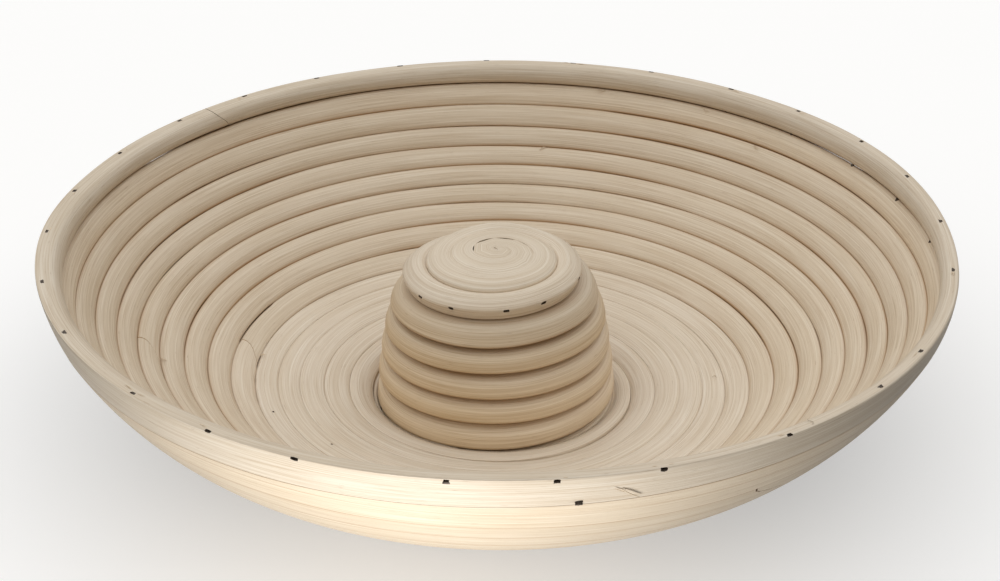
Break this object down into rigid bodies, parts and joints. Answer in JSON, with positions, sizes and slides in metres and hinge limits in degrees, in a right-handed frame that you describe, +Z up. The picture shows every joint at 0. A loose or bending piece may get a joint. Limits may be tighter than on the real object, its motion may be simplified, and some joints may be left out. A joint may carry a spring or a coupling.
{
  "type": "banneton basket",
  "caption": "Round ring-shaped proving basket coiled from planed rattan cane, with a flared wall, a domed centre knob, a closed rim hoop and wire brads.",
  "frame": {"origin": "middle of the footprint, on the surface that the basket stands on", "axes": "+Z up through the rim; +X and +Y across the rim, with the rim hoop's butt joint at the back left (-X, +Y)"},
  "size_m": [0.3248, 0.3249, 0.0717],
  "materials": {
    "cane": "matt",
    "brad": "dull, browned"
  },
  "bodies": {
    "root": {"knob_coil": "cane", "floor_coil": "cane", "lower_wall_coil": "cane", "middle_wall_coil": "cane", "upper_wall_coil": "cane", "rim_hoop": "cane", "cap_nails": "brad", "knob_nails": "brad", "floor_nails": "brad", "lower_wall_nails": "brad", "middle_wall_nails": "brad", "upper_wall_nails": "brad", "rim_nails": "brad"}
  },
  "joints": []
}
